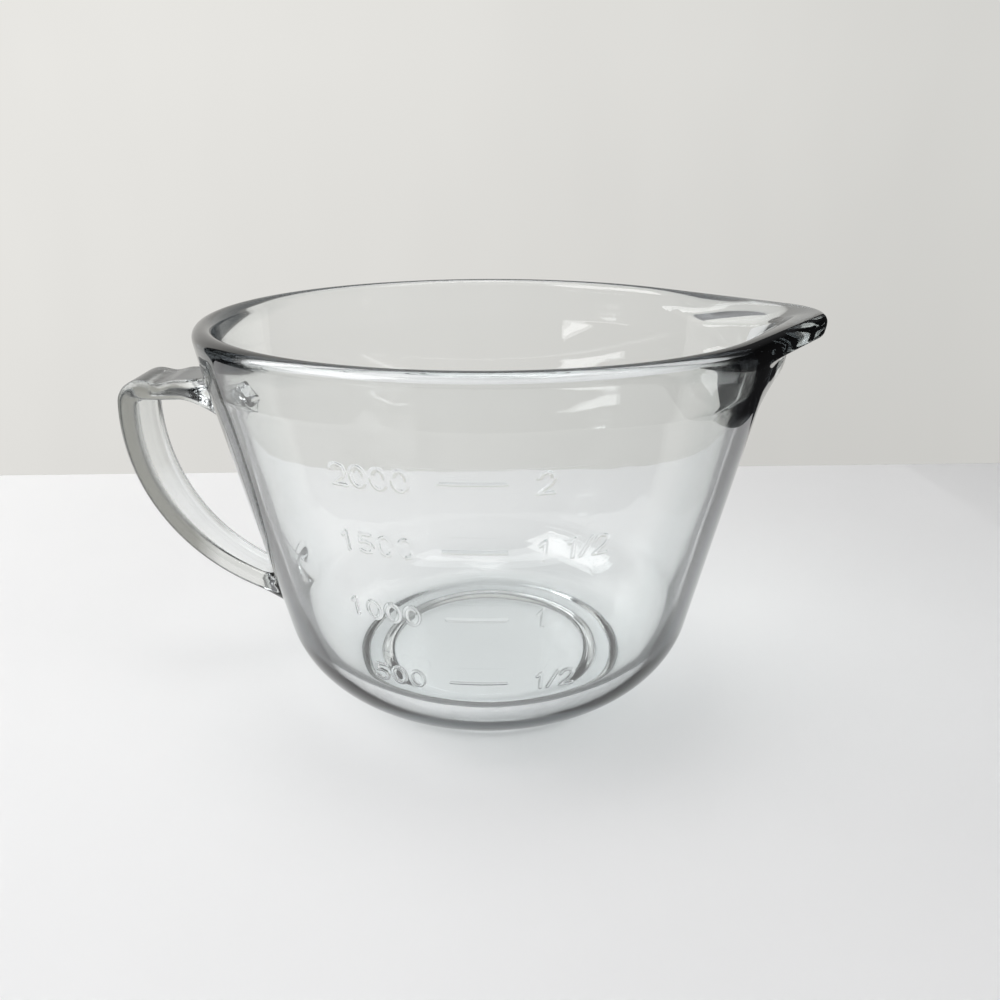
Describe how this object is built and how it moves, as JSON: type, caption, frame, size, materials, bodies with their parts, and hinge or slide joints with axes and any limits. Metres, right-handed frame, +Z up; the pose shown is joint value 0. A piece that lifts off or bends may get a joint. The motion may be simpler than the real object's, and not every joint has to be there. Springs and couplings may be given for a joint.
{
  "type": "batter bowl",
  "caption": "Deep pressed clear glass batter bowl on a foot ring, with a rolled rim, a broad pouring spout, a strap handle opposite it and raised volume graduations.",
  "frame": {"origin": "on the bowl's axis, in the plane of the table that the foot ring stands on", "axes": "+Z up along the bowl's axis, +X towards the pouring spout with the handle on -X, and -Y towards the side with the graduations"},
  "size_m": [0.2462, 0.1948, 0.14],
  "materials": {
    "glass": "clear, smooth, fire polished"
  },
  "bodies": {
    "root": {"foot_ring": "glass", "base_disc": "glass", "heel": "glass", "bowl_wall": "glass", "rim_bead": "glass", "pouring_spout": "glass", "handle_grip": "glass", "handle_upper_root": "glass", "handle_lower_root": "glass", "graduation_bars": "glass", "numerals_millilitres": "glass", "numerals_quarts": "glass"}
  },
  "joints": []
}
